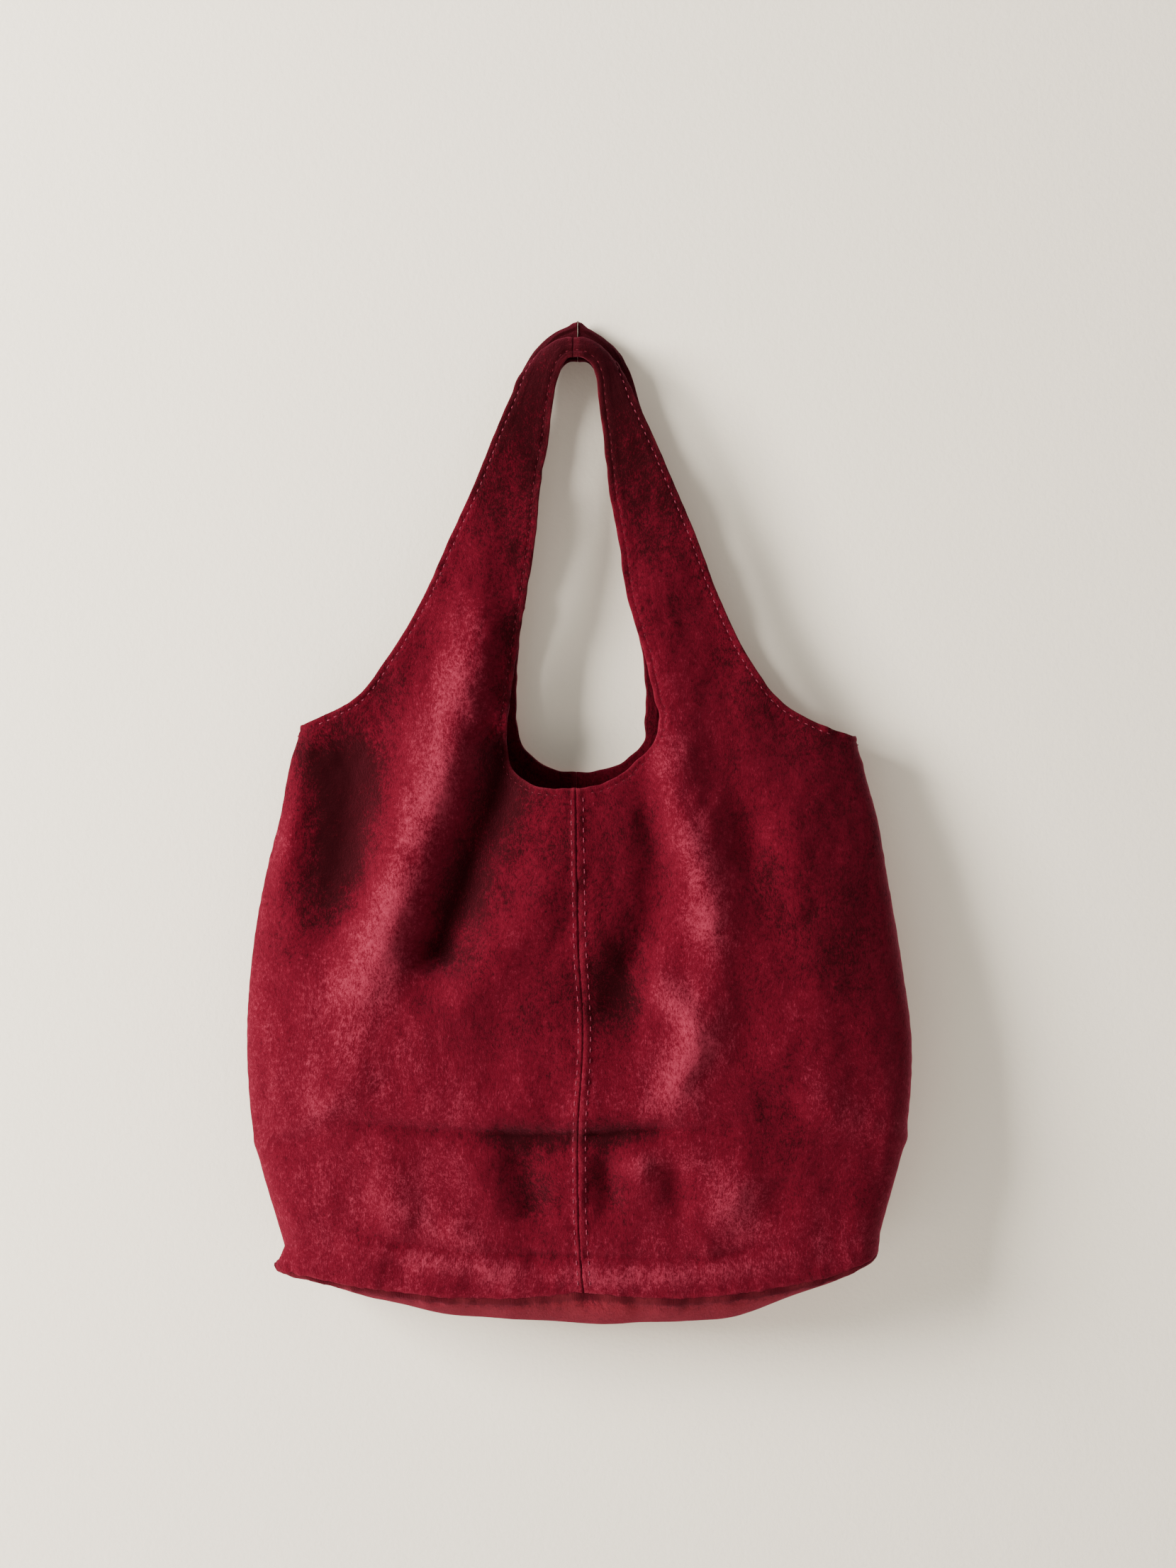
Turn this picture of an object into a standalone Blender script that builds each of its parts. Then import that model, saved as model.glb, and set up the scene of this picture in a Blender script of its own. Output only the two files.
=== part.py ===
"""Suede hobo bag, hanging empty from a wall hook.

Metres, +Z up. The origin is the hook seat, where the strap joins bear on the hook. The front faces -Y and
the back lies against the wall. Each half of the front and of the back is one hide cut in one with its strap:
it runs from the bottom seam up past the neckline and the armhole to the strap join over the hook. The hide
bends at the foot of the strap, so panel and strap are two solids there, and each pair of straps turns on
that fold line.
"""

import bpy
import bmesh
import numpy as np

MM = 0.001

# Hide and thread
LEATHER = 1.6 * MM
GAP = 0.3 * MM
THREAD_RADIUS = 0.45 * MM
THREAD_LIFT = 0.4 * MM

# Driving heights
FOLD_Z = -215 * MM
ARMHOLE_REACH = 174.7 * MM
WALL_Y = 19.5 * MM

# Stitch distances from the edges
CENTRE_INSET = {"left": 2.9 * MM, "right": 4.5 * MM}
HEM_INSET = 4.0 * MM
NECK_INSET = 5.0 * MM
JOIN_INSET = 2.5 * MM
THREAD_TRIM = 1.2 * MM
BASE_THREAD_RISE = 1.6 * MM
TACK_LENGTH = 9 * MM
TACK_MIDDLE = 4.5 * MM
TACK_HOOK = 0.8 * MM

# The hinge lines stand a little outside the hides, so that the strap feet clear the panels as they turn.
HINGE_CLEARANCE = 1.5 * MM

# Outlines in millimetres, (x, z), bottom to top. Ribs of the hide run from the inner to the outer outline.
CENTRE_SEAM = ((3.6, -578.7), (1.5, -553), (0.3, -480), (3.2, -424), (0.5, -366), (-0.8, -315))
NECKLINE_MIDDLE = {"front": ((-1.4, -271),), "back": ((-1.4, -261),)}
NECKLINE = {
    "front_left": ((-16, -271.5), (-30, -268.5), (-40, -260), (-44.5, -245), (-44.2, -231)),
    "front_right": ((10, -269.5), (22, -265.5), (36, -255), (49, -238), (50, -227)),
    "back_left": ((-13, -260), (-28, -252), (-36.5, -242), (-39, -231), (-39.5, -223)),
    "back_right": ((10, -260.5), (20, -258), (32.5, -251.5), (42, -241), (42.5, -227)),
}
STRAP_INNER = {
    "front_left": (
        (-42.5, -215), (-39.5, -193), (-32, -149), (-26.4, -114), (-23.3, -80), (-18.3, -52), (-15.1, -26),
    ),
    "front_right": (
        (47.5, -215), (42.5, -193), (30, -149), (24.8, -114), (18.8, -80), (15.8, -52), (12.5, -26),
    ),
    "back_left": (
        (-39.5, -215), (-39, -191), (-34, -149), (-28.6, -114), (-25, -80), (-19.6, -52), (-17, -26),
    ),
    "back_right": (
        (43, -215), (42, -193), (32.4, -149), (27.3, -114), (22, -80), (18.2, -52), (14.5, -26),
    ),
}
SIDE = {
    "left": (
        (-188, -568.5), (-181.4, -554.5), (-202.4, -478), (-205.9, -430), (-203.8, -381.5), (-195.9, -328),
        (-186.1, -285.5), (-182.9, -266), (-179.5, -250), (-175.8, -238.5), (-174.7, -232),
    ),
    "right": (
        (186, -559.2), (187, -546), (204.5, -478), (207.5, -430), (202, -381.5), (193.6, -328),
        (186.5, -285.5), (181.5, -267), (178.2, -253.5), (175.5, -244), (174.7, -239),
    ),
}
ARMHOLE = {
    "left": (
        (-162, -226.6), (-139.6, -215), (-121, -192), (-96, -150), (-80, -114), (-64.7, -80), (-53.5, -52),
    ),
    "right": (
        (155, -232.8), (124.6, -215), (108.5, -193), (87.5, -150), (74, -114), (59.8, -80), (47.8, -52),
    ),
}
CROWN_INNER = {
    "front_left": ((-12, -12), (-8.8, -4.5), (-6, -1.5), (-3.2, -1)),
    "front_right": ((10.8, -12), (7.5, -4.5), (2.5, -1.5), (-3.2, -1)),
    "back_left": ((-13.4, -12), (-10, -4), (-5.5, -0.8), (-0.4, -0.5)),
    "back_right": ((12, -12), (9, -4), (5, -0.8), (-0.4, -0.5)),
}
CROWN_OUTER = {
    "front_left": ((-42.5, -25.5), (-35, -8.5), (-26, 1), (-14, 6), (-3.2, 7)),
    "front_right": ((35.5, -25.5), (27.5, -9), (18.5, 1), (8, 6), (-3.2, 7)),
    "back_left": ((-41.5, -24), (-35.8, -6.5), (-27, 7.2), (-13.6, 18.4), (-0.4, 24)),
    "back_right": ((38.5, -24), (32.4, -5.5), (22.8, 8.6), (9.4, 18), (-0.4, 24)),
}

# Depth of the hanging shell in millimetres, (z, y)
SIDE_DEPTH = ((-600, -22), (-430, -18), (-300, -10), (-235, -4), (-150, -1), (30, 0))
MIDDLE_DEPTH = {
    "front": (
        (-600, -59), (-500, -62), (-420, -60), (-330, -52), (-271, -42),
        (-215, -27), (-150, -21), (-80, -18), (30, -16),
    ),
    "back": (
        (-600, 26), (-500, 26), (-420, 26), (-330, 25), (-271, 21),
        (-215, 17.5), (-150, 14), (-80, 11), (30, 9),
    ),
}
SQUARENESS = ((-600, 4.2), (-450, 3.0), (-300, 2.6), (-200, 2.4), (30, 2.4))

# How the straps roll over the hook: depth of the inner edge, crest and outer edge, and the crest's lift
CROWN_ROLL = {
    "front": {"inner": -16.5 * MM, "crest": -13 * MM, "outer": 1 * MM, "lift": 17 * MM},
    "back": {"inner": 4 * MM, "crest": 5 * MM, "outer": 16.5 * MM, "lift": 13 * MM},
}

# The bottom edge of front and back in millimetres, (x, z). It hangs a little between centre seam and corners,
# and the ribs above it take less and less of its shape.
BOTTOM_EDGE = (
    (-188, -568.5), (-170, -570.2), (-150, -573), (-122, -577.6), (-95, -580.5), (-60, -582.5), (-22, -581.4),
    (3.6, -578.7), (30, -581.4), (60, -582.6), (92, -580.2), (128, -575.5), (150, -571.4), (170, -565.4),
    (186, -559.2),
)
EDGE_SHARE = (1, 0.25, 0)

# The lowest line of the sagging base, halfway between front and back, (x, z)
BASE_LINE = (
    (-188, -568.5), (-150, -579), (-120, -588.5), (-100, -593.4), (-60, -598.6), (-20, -601.6), (8, -603.6),
    (60, -602), (100, -597.6), (128, -589), (150, -579.5), (170, -570), (186, -559.2),
)

SEAM_RIB = 6
CORNER_RIB = 10
FOLD_RIB = 12
CROWN_RIB = 18
LAST_RIB = 22
PANEL_COLUMNS = 12
STRAP_COLUMNS = 5
BASE_ROWS = 6
COLUMN_CROWDING = 1.5

SUEDE_COLOUR = (0.23, 0.010, 0.022, 1)
BASE_COLOUR = (0.25, 0.020, 0.028, 1)
THREAD_COLOUR = (0.42, 0.09, 0.13, 1)

FACES = ("front", "back")
HANDS = ("left", "right")


def clear_scene():
    for thing in list(bpy.data.objects):
        bpy.data.objects.remove(thing, do_unlink=True)


def material(name, colour, roughness):
    made = bpy.data.materials.new(name)
    made.use_nodes = True
    shader = made.node_tree.nodes["Principled BSDF"]
    shader.inputs["Base Color"].default_value = colour
    shader.inputs["Roughness"].default_value = roughness
    shader.inputs["Metallic"].default_value = 0.0
    made.diffuse_color = colour
    return made


def smooth_curve(knots, values, at):
    """Cubic curve through values at rising knots, read at the given places."""
    knots, values, at = (np.asarray(x, float) for x in (knots, values, at))
    slopes = np.gradient(values, knots, axis=0)
    i = np.clip(np.searchsorted(knots, at, side="right") - 1, 0, len(knots) - 2)
    span = knots[i + 1] - knots[i]
    t = (at - knots[i]) / span
    return (
        (1 + 2 * t) * (1 - t) ** 2 * values[i]
        + t * t * (3 - 2 * t) * values[i + 1]
        + span * t * (1 - t) ** 2 * slopes[i]
        - span * t * t * (1 - t) * slopes[i + 1]
    )


def look_up(table, at):
    """Reads a table of pairs in millimetres at places in metres."""
    places, values = np.array(table).T
    return smooth_curve(places * MM, values * MM, at)


def ease(t):
    t = np.clip(t, 0, 1)
    return t * t * (3 - 2 * t)


def outlines(face, hand):
    """Inner and outer outline of one hide, (x, z) at each rib, in metres."""
    half = f"{face}_{hand}"
    inner = CENTRE_SEAM + NECKLINE_MIDDLE[face] + NECKLINE[half] + STRAP_INNER[half] + CROWN_INNER[half]
    outer = SIDE[hand] + ARMHOLE[hand] + CROWN_OUTER[half]
    return np.array(inner) * MM, np.array(outer) * MM


def hide_grid(face, hand, ribs, columns):
    """Outer surface of a hide along some ribs: (rib, column, xyz), the first column on the inner outline."""
    inner, outer = outlines(face, hand)
    out = 1 if hand == "right" else -1
    seam_rows = (np.arange(len(inner)) <= SEAM_RIB) | (np.arange(len(inner)) == LAST_RIB)
    inner[seam_rows, 0] += out * GAP / 2
    outer[LAST_RIB, 0] += out * GAP / 2
    u = 1 - (1 - np.linspace(0, 1, columns)) ** COLUMN_CROWDING
    u = u[None, :, None]
    a, b = inner[ribs][:, None, :], outer[ribs][:, None, :]
    roll = ease((np.array(ribs) - CROWN_RIB + 1) / (LAST_RIB - CROWN_RIB))[:, None]
    shape = CROWN_ROLL[face]
    v = u[..., 0]
    x = a[..., 0] * (1 - v) + b[..., 0] * v
    edge_x = inner[0, 0] * (1 - v) + outer[0, 0] * v
    hang = look_up(BOTTOM_EDGE, edge_x) - (inner[0, 1] * (1 - v) + outer[0, 1] * v)
    share = np.interp(ribs, range(len(EDGE_SHARE)), EDGE_SHARE)[:, None]
    z = a[..., 1] * (1 - v) + b[..., 1] * v + hang * share + 2 * v * (1 - v) * shape["lift"] * roll
    reach = np.maximum(np.abs(b[..., 0]), ARMHOLE_REACH)
    power = np.interp(z / MM, *np.array(SQUARENESS).T)
    swell = (1 - np.clip(np.abs(x) / reach, 0, 1) ** power) ** (1 / power)
    seam_y = look_up(SIDE_DEPTH, z)
    y = seam_y + (look_up(MIDDLE_DEPTH[face], z) - seam_y) * swell
    rolled = shape["inner"] * (1 - v) ** 2 + 2 * shape["crest"] * v * (1 - v) + shape["outer"] * v**2
    y = y * (1 - roll) + rolled * roll
    y = np.minimum(y, WALL_Y)
    grid = np.stack([x, y, z], axis=-1)
    side_rows = np.array(ribs) <= CORNER_RIB
    grid[side_rows, -1, 1] += GAP / 2 * (-1 if face == "front" else 1)
    return grid


def outward(grid, face, hand):
    """Unit normals of a hide's outer surface."""
    along = np.gradient(grid, axis=0)
    across = np.gradient(grid, axis=1)
    normal = np.cross(across, along)
    turn = 1 if (face == "front") == (hand == "right") else -1
    return turn * normal / np.linalg.norm(normal, axis=-1, keepdims=True)


def squared(normals, rows, columns, axis):
    """Normals on an edge that meets a neighbour, with no part along the axis that the two edges face."""
    normals[rows, columns, axis] = 0
    length = np.linalg.norm(normals[rows, columns], axis=-1, keepdims=True)
    normals[rows, columns] /= length


def shell(name, outside, inside, colour):
    """Closed sheet between two grids of one size. Points that coincide, as at the base's ends, are one."""
    rows, columns = outside.shape[:2]
    mesh = bmesh.new()
    found = {}

    def vertex(point):
        key = tuple(round(value, 7) for value in point)
        if key not in found:
            found[key] = mesh.verts.new(point)
        return found[key]

    def face(*corners):
        corners = list(dict.fromkeys(corners))
        if len(corners) > 2:
            mesh.faces.new(corners)

    layers = [[[vertex(point) for point in row] for row in grid] for grid in (outside, inside)]
    for layer in layers:
        for r in range(rows - 1):
            for c in range(columns - 1):
                face(layer[r][c], layer[r][c + 1], layer[r + 1][c + 1], layer[r + 1][c])
    rim = [(0, c) for c in range(columns)] + [(r, columns - 1) for r in range(1, rows)]
    rim += [(rows - 1, c) for c in range(columns - 2, -1, -1)] + [(r, 0) for r in range(rows - 2, 0, -1)]
    outer, inner = ([layer[r][c] for r, c in rim] for layer in layers)
    for i in range(len(rim)):
        face(outer[i - 1], outer[i], inner[i], inner[i - 1])
    bmesh.ops.triangulate(mesh, faces=mesh.faces, quad_method="SHORT_EDGE")
    bmesh.ops.recalc_face_normals(mesh, faces=mesh.faces)
    data = bpy.data.meshes.new(name)
    mesh.to_mesh(data)
    mesh.free()
    data.shade_smooth()
    made = bpy.data.objects.new(name, data)
    bpy.context.scene.collection.objects.link(made)
    data.materials.append(material(name, colour, 0.95))
    return made


def thread(name, points):
    """Sewing thread along a line of points."""
    line = bpy.data.curves.new(name, "CURVE")
    line.dimensions = "3D"
    line.bevel_depth = THREAD_RADIUS
    line.bevel_resolution = 1
    line.use_fill_caps = True
    run = line.splines.new("POLY")
    run.points.add(len(points) - 1)
    for place, point in zip(run.points, points):
        place.co = (*point, 1)
    made = bpy.data.objects.new(name, line)
    bpy.context.scene.collection.objects.link(made)
    line.materials.append(material(name, THREAD_COLOUR, 0.6))
    return made


def inset_line(grid, normals, rows, from_outer, inset):
    """Points a fixed distance in from one edge of a hide, lifted just off its outer surface."""
    points = []
    for r in rows:
        row, lift = grid[r], normals[r]
        if from_outer:
            row, lift = row[::-1], lift[::-1]
        steps = np.linalg.norm(np.diff(row, axis=0), axis=1)
        walked = np.concatenate([[0], np.cumsum(steps)])
        place = [np.interp(inset, walked, row[:, k]) for k in range(3)]
        away = np.array([np.interp(inset, walked, lift[:, k]) for k in range(3)])
        points.append(np.array(place) + away / np.linalg.norm(away) * (THREAD_LIFT + THREAD_RADIUS))
    return np.array(points)


def trimmed(points):
    """The line without a short length at each end, so that it clears its neighbours."""
    points = points.copy()
    for here, there in ((0, 1), (-1, -2)):
        step = points[there] - points[here]
        points[here] += step / np.linalg.norm(step) * THREAD_TRIM
    return points


def add_hide(face, hand, hinge):
    """Panel, strap and the threads sewn through one hide."""
    half = f"{face}_{hand}"
    panel_ribs = list(range(FOLD_RIB + 1))
    strap_ribs = list(range(FOLD_RIB, LAST_RIB + 1))
    panel = hide_grid(face, hand, panel_ribs, PANEL_COLUMNS)
    strap = hide_grid(face, hand, strap_ribs, STRAP_COLUMNS)
    panel[-1, :, 2] -= GAP / 2
    strap[0, :, 2] += GAP / 2

    panel_out = outward(panel, face, hand)
    squared(panel_out, slice(0, SEAM_RIB + 1), 0, 0)
    squared(panel_out, slice(0, CORNER_RIB + 1), -1, 1)
    squared(panel_out, 0, slice(None), 2)
    squared(panel_out, -1, slice(None), 2)
    strap_out = outward(strap, face, hand)
    squared(strap_out, 0, slice(None), 2)
    squared(strap_out, -1, slice(None), 0)
    shell(f"{half}_panel", panel, panel - panel_out * LEATHER, SUEDE_COLOUR)
    made = [shell(f"{half}_strap", strap, strap - strap_out * LEATHER, SUEDE_COLOUR)]

    centre = inset_line(panel, panel_out, range(0, SEAM_RIB + 1), False, CENTRE_INSET[hand])
    thread(f"{half}_centre_thread", trimmed(centre))
    neck = inset_line(panel, panel_out, range(SEAM_RIB + 1, FOLD_RIB + 1), False, NECK_INSET)
    thread(f"{half}_neck_thread", trimmed(neck))
    arm = inset_line(panel, panel_out, range(CORNER_RIB + 1, FOLD_RIB + 1), True, HEM_INSET)
    thread(f"{half}_armhole_thread", trimmed(arm))
    rows = range(len(strap_ribs) - 1)
    upper_neck = inset_line(strap, strap_out, rows, False, HEM_INSET)
    made.append(thread(f"{half}_strap_inner_thread", trimmed(upper_neck)))
    upper_arm = inset_line(strap, strap_out, rows, True, HEM_INSET)
    made.append(thread(f"{half}_strap_outer_thread", trimmed(upper_arm)))
    for piece in made:
        piece.parent = hinge
        piece.matrix_parent_inverse = hinge.matrix_world.inverted()
    return panel, panel_out, strap, strap_out


def add_join_thread(face, strap, strap_out, hinge):
    """Thread across the strap join over the hook, on the left strap."""
    last = strap[-2:].transpose(1, 0, 2)[:, ::-1]
    lift = strap_out[-2:].transpose(1, 0, 2)[:, ::-1]
    line = inset_line(last, lift, range(1, STRAP_COLUMNS - 1), False, JOIN_INSET)
    piece = thread(f"{face}_join_thread", line)
    piece.parent = hinge
    piece.matrix_parent_inverse = hinge.matrix_world.inverted()


def hinge_empty(name, y):
    """Parent of a strap loop, on its fold line."""
    made = bpy.data.objects.new(name, None)
    made.location = (0, y, FOLD_Z)
    bpy.context.scene.collection.objects.link(made)
    bpy.context.view_layer.update()
    return made


def hinge_depth(face):
    """The fold line's depth: outside the strap feet, so that turning opens the cut above the panel."""
    feet = [hide_grid(face, hand, [FOLD_RIB], STRAP_COLUMNS)[0, :, 1] for hand in HANDS]
    if face == "front":
        return np.min(feet) - HINGE_CLEARANCE
    return np.max(feet) + HINGE_CLEARANCE


def base_edge(panels, face):
    """The bottom edge of one face from its left to its right side seam."""
    left, right = panels[face, "left"][0][::-1], panels[face, "right"][0]
    return np.concatenate([left, right])


def add_base(panels):
    """Base panel, sewn to the bottom edges all round and sagging between them."""
    front, back = base_edge(panels, "front"), base_edge(panels, "back")
    ends = (front[[0, -1]] + back[[0, -1]]) / 2
    front[[0, -1]], back[[0, -1]] = ends, ends
    t = np.linspace(0, 1, BASE_ROWS + 1)[:, None, None]
    top = front * (1 - t) + back * t
    sag = top[..., 2] - look_up(BASE_LINE, top[..., 0])
    sag[:, [0, -1]] = 0
    top[..., 2] -= 4 * (t * (1 - t))[..., 0] * sag + GAP
    shell("base_panel", top, top - np.array((0, 0, LEATHER)), BASE_COLOUR)


def add_hidden_seam_threads(panels, normals):
    """The threads that close the side seams and the base seam, inside the bag."""
    off = LEATHER + 2 * THREAD_LIFT + THREAD_RADIUS
    for hand in HANDS:
        front, back = panels["front", hand], panels["back", hand]
        line = (front[1 : CORNER_RIB, -1] + back[1 : CORNER_RIB, -1]) / 2
        line[:, 0] -= np.sign(line[:, 0]) * off
        thread(f"{hand}_side_seam_thread", line)
    for face in FACES:
        line = base_edge(panels, face)
        away = base_edge(normals, face)
        line = (line - away * off)[2:-2]
        line[:, 2] += BASE_THREAD_RISE
        thread(f"{face}_base_seam_thread", line)


def add_corner_tacks(panels):
    """Bar of thread across the top of each side seam."""
    for hand in HANDS:
        corner = (panels["front", hand][CORNER_RIB - 1, -1] + panels["back", hand][CORNER_RIB - 1, -1]) / 2
        out = np.sign(corner[0])
        corner[0] += out * (THREAD_LIFT + THREAD_RADIUS)
        middle = np.array((0, TACK_MIDDLE / 2, 0))
        end = np.array((-out * TACK_HOOK, TACK_LENGTH / 2, 0))
        start = end * (1, -1, 1)
        thread(f"{hand}_corner_tack", [corner + start, corner - middle, corner + middle, corner + end])


def build():
    clear_scene()
    panels, normals = {}, {}
    for face in FACES:
        hinge = hinge_empty(f"{face}_loop_hinge", hinge_depth(face))
        for hand in HANDS:
            panel, panel_out, strap, strap_out = add_hide(face, hand, hinge)
            panels[face, hand] = panel
            normals[face, hand] = panel_out
            if hand == "left":
                add_join_thread(face, strap, strap_out, hinge)
    add_base(panels)
    add_hidden_seam_threads(panels, normals)
    add_corner_tacks(panels)


build()
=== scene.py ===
"""Looks of the suede hobo bag, around its CAD frame.

Each hide is one soft skin from the bottom seam to the strap join, with its folds, hems and seams.
Each visible stitch is a small piece of thread.
"""

import math

import bpy
import numpy as np
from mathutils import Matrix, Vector


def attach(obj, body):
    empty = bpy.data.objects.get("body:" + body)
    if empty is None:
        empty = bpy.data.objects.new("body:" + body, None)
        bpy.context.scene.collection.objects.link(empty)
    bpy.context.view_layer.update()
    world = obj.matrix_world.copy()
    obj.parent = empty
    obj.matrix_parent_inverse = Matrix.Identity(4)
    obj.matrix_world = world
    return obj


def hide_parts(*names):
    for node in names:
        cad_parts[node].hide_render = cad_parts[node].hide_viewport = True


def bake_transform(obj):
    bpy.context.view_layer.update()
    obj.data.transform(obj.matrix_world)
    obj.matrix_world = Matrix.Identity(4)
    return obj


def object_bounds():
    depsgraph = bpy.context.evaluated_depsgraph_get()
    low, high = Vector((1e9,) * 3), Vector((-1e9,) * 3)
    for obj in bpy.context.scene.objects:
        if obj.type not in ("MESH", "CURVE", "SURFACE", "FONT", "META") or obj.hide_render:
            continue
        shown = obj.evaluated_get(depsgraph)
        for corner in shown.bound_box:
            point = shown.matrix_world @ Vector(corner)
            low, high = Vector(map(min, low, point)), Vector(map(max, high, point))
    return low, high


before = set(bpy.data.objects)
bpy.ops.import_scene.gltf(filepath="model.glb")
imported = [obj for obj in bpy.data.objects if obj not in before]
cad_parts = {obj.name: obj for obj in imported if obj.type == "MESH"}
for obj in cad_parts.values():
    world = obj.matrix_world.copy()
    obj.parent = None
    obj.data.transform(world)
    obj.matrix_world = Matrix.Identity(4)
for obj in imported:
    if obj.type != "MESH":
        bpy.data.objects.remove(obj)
cad_low, cad_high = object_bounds()

MM = 0.001
FACES = ("front", "back")
HANDS = ("left", "right")
BODY = "bag_body"

# The camera stands level with the neckline, a pace and a half in front of the bag.
CAMERA_DISTANCE = 1.5
VIEW_HEIGHT = 0.993
VIEW_CENTRE = (6.2 * MM, -268.6 * MM)
SENSOR = 36.0

# The hide's cut as it hangs, in millimetres (x, z), the same outlines as the CAD hides
CENTRE_SEAM = ((3.6, -578.7), (1.5, -553), (0.3, -480), (3.2, -424), (0.5, -366), (-0.8, -315))
NECKLINE_MIDDLE = {"front": ((-1.4, -271),), "back": ((-1.4, -261),)}
NECKLINE = {
    "front_left": ((-16, -271.5), (-30, -268.5), (-40, -260), (-44.5, -245), (-44.2, -231)),
    "front_right": ((10, -269.5), (22, -265.5), (36, -255), (49, -238), (50, -227)),
    "back_left": ((-13, -260), (-28, -252), (-36.5, -242), (-39, -231), (-39.5, -223)),
    "back_right": ((10, -260.5), (20, -258), (32.5, -251.5), (42, -241), (42.5, -227)),
}
STRAP_INNER = {
    "front_left": (
        (-42.5, -215), (-39.5, -193), (-32, -149), (-26.4, -114), (-23.3, -80), (-18.3, -52), (-15.1, -26),
    ),
    "front_right": (
        (47.5, -215), (42.5, -193), (30, -149), (24.8, -114), (18.8, -80), (15.8, -52), (12.5, -26),
    ),
    "back_left": (
        (-39.5, -215), (-39, -191), (-34, -149), (-28.6, -114), (-25, -80), (-19.6, -52), (-17, -26),
    ),
    "back_right": (
        (43, -215), (42, -193), (32.4, -149), (27.3, -114), (22, -80), (18.2, -52), (14.5, -26),
    ),
}
SIDE = {
    "left": (
        (-188, -568.5), (-181.4, -554.5), (-202.4, -478), (-205.9, -430), (-203.8, -381.5), (-195.9, -328),
        (-186.1, -285.5), (-182.9, -266), (-179.5, -250), (-175.8, -238.5), (-174.7, -232),
    ),
    "right": (
        (186, -559.2), (187, -546), (204.5, -478), (207.5, -430), (202, -381.5), (193.6, -328),
        (186.5, -285.5), (181.5, -267), (178.2, -253.5), (175.5, -244), (174.7, -239),
    ),
}
ARMHOLE = {
    "left": (
        (-162, -226.6), (-139.6, -215), (-121, -192), (-96, -150), (-80, -114), (-64.7, -80), (-53.5, -52),
    ),
    "right": (
        (155, -232.8), (124.6, -215), (108.5, -193), (87.5, -150), (74, -114), (59.8, -80), (47.8, -52),
    ),
}
CROWN_INNER = {
    "front_left": ((-12, -12), (-8.8, -4.5), (-6, -1.5), (-3.2, -1)),
    "front_right": ((10.8, -12), (7.5, -4.5), (2.5, -1.5), (-3.2, -1)),
    "back_left": ((-13.4, -12), (-10, -4), (-5.5, -0.8), (-0.4, -0.5)),
    "back_right": ((12, -12), (9, -4), (5, -0.8), (-0.4, -0.5)),
}
CROWN_OUTER = {
    "front_left": ((-42.5, -25.5), (-35, -8.5), (-26, 1), (-14, 6), (-3.2, 7)),
    "front_right": ((35.5, -25.5), (27.5, -9), (18.5, 1), (8, 6), (-3.2, 7)),
    "back_left": ((-41.5, -24), (-35.8, -6.5), (-27, 7.2), (-13.6, 18.4), (-0.4, 24)),
    "back_right": ((38.5, -24), (32.4, -5.5), (22.8, 8.6), (9.4, 18), (-0.4, 24)),
}
# The bottom edge hangs a little between the centre seam and the corners (x, z)
BOTTOM_EDGE = (
    (-188, -568.5), (-170, -570.2), (-150, -573), (-122, -577.6), (-95, -580.5), (-60, -582.5), (-22, -581.4),
    (3.6, -578.7), (30, -581.4), (60, -582.6), (92, -580.2), (128, -575.5), (150, -571.4), (170, -565.4),
    (186, -559.2),
)
# The lowest line that the base sags to (x, z)
BASE_LINE = (
    (-188, -568.5), (-150, -579), (-120, -588.5), (-100, -593.4), (-60, -598.6), (-20, -601.6), (8, -603.6),
    (60, -602), (100, -597.6), (128, -589), (150, -579.5), (170, -570), (186, -559.2),
)
# Depth of the hanging shell (z, y)
SIDE_DEPTH = ((-600, -22), (-430, -18), (-300, -10), (-235, -4), (-150, -1), (30, 0))
MIDDLE_DEPTH = {
    "front": (
        (-600, -59), (-500, -62), (-420, -60), (-330, -52), (-271, -42), (-215, -27), (-150, -21), (-80, -18),
        (30, -16),
    ),
    "back": (
        (-600, 26), (-500, 26), (-420, 26), (-330, 25), (-271, 21), (-215, 17.5), (-150, 14), (-80, 11),
        (30, 9),
    ),
}
# How square the shell's level section is at each height (z, power of its curve)
SQUARENESS = ((-600, 4.2), (-450, 3.0), (-300, 2.6), (-200, 2.4), (30, 2.4))
# The strap top where it rolls over the hook: y of its inner edge, crest and outer edge, and its arch
CROWN_ROLL = {
    "front": {"inner": -16.5, "crest": -13, "outer": 1, "lift": 17},
    "back": {"inner": 4, "crest": 5, "outer": 16.5, "lift": 13},
}
# Numbers of the outline points: the notch over the bottom corner, the top of the centre seam, the armhole
# corner, the top of the neckline, the foot of the strap, the start of its roll over the hook, the strap join
NOTCH, SEAM_END, CORNER, NECK_TOP, FOLD, CROWN, JOIN = 1, 6, 10, 11, 12, 18, 22
# Where the fold line across the body reaches the side: outward push, height and half height in millimetres
CREASE_BUMP = {"left": (-0.9, -491, 5), "right": (1.6, -488, 6)}
# Outer outline point that each inner one is paired with, so that the grid's rows meet the neckline steeply
PAIRED = ((0, 0), (1, NOTCH), (SEAM_END, 5.2), (10, 9.2), (NECK_TOP, CORNER), (FOLD, FOLD), (JOIN, JOIN))
# How far a row of the grid hangs below the straight line between its ends, by point number
DIP = ((0, 0), (2, 0), (SEAM_END, 14), (8, 19), (10, 8), (NECK_TOP, 3), (FOLD, 0), (JOIN, 0))
# How much of the bottom edge's shape the grid has above it, by point number
EDGE_SHARE = ((0, 1), (NOTCH, 0.25), (2, 0))

ARMHOLE_REACH = 174.7 * MM
ROW_STEP = 2.2 * MM
EDGE_STEP = 0.8 * MM
BASE_EDGE_ROWS = 7
JOIN_EDGE_ROWS = 4
COLUMNS = 104
HIDE_HALF = 0.8 * MM
HEM_WIDTH = 9 * MM
HEM_SLOPE = 1.6 * MM
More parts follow.
